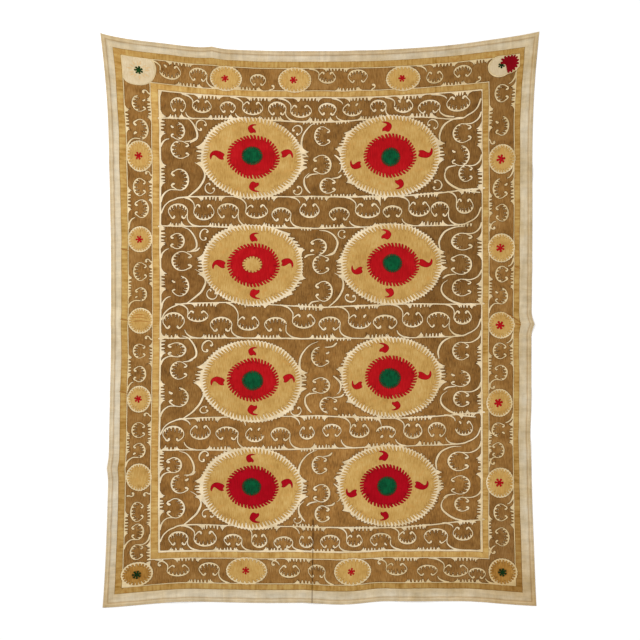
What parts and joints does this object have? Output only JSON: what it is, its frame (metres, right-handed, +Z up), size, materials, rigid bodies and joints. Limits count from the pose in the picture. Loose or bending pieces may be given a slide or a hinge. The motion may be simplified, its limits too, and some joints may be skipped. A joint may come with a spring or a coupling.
{
  "type": "suzani embroidered textile",
  "caption": "Flat cloth of cream cotton loom widths sewn edge to edge, couched all over with rosettes and scroll bands, gold band frames and a plain hemmed edge, for a wall, bed or table.",
  "frame": {"origin": "on the surface that the cloth lies on, under the middle of the space that it covers", "axes": "+Z up out of the worked face, +Y towards the end shown at the top, +X to its right seen face on"},
  "size_m": [1.756, 2.304, 0.0089],
  "materials": {
    "cream_cotton": "matte plain weave, undyed",
    "brown_thread": "couched thread, soft sheen",
    "gold_thread": "couched thread, soft sheen",
    "red_thread": "couched thread, soft sheen",
    "green_thread": "couched thread, soft sheen"
  },
  "bodies": {
    "root": {"panel_1": "cream_cotton", "panel_2": "cream_cotton", "panel_3": "cream_cotton", "panel_4": "cream_cotton"}
  },
  "joints": []
}
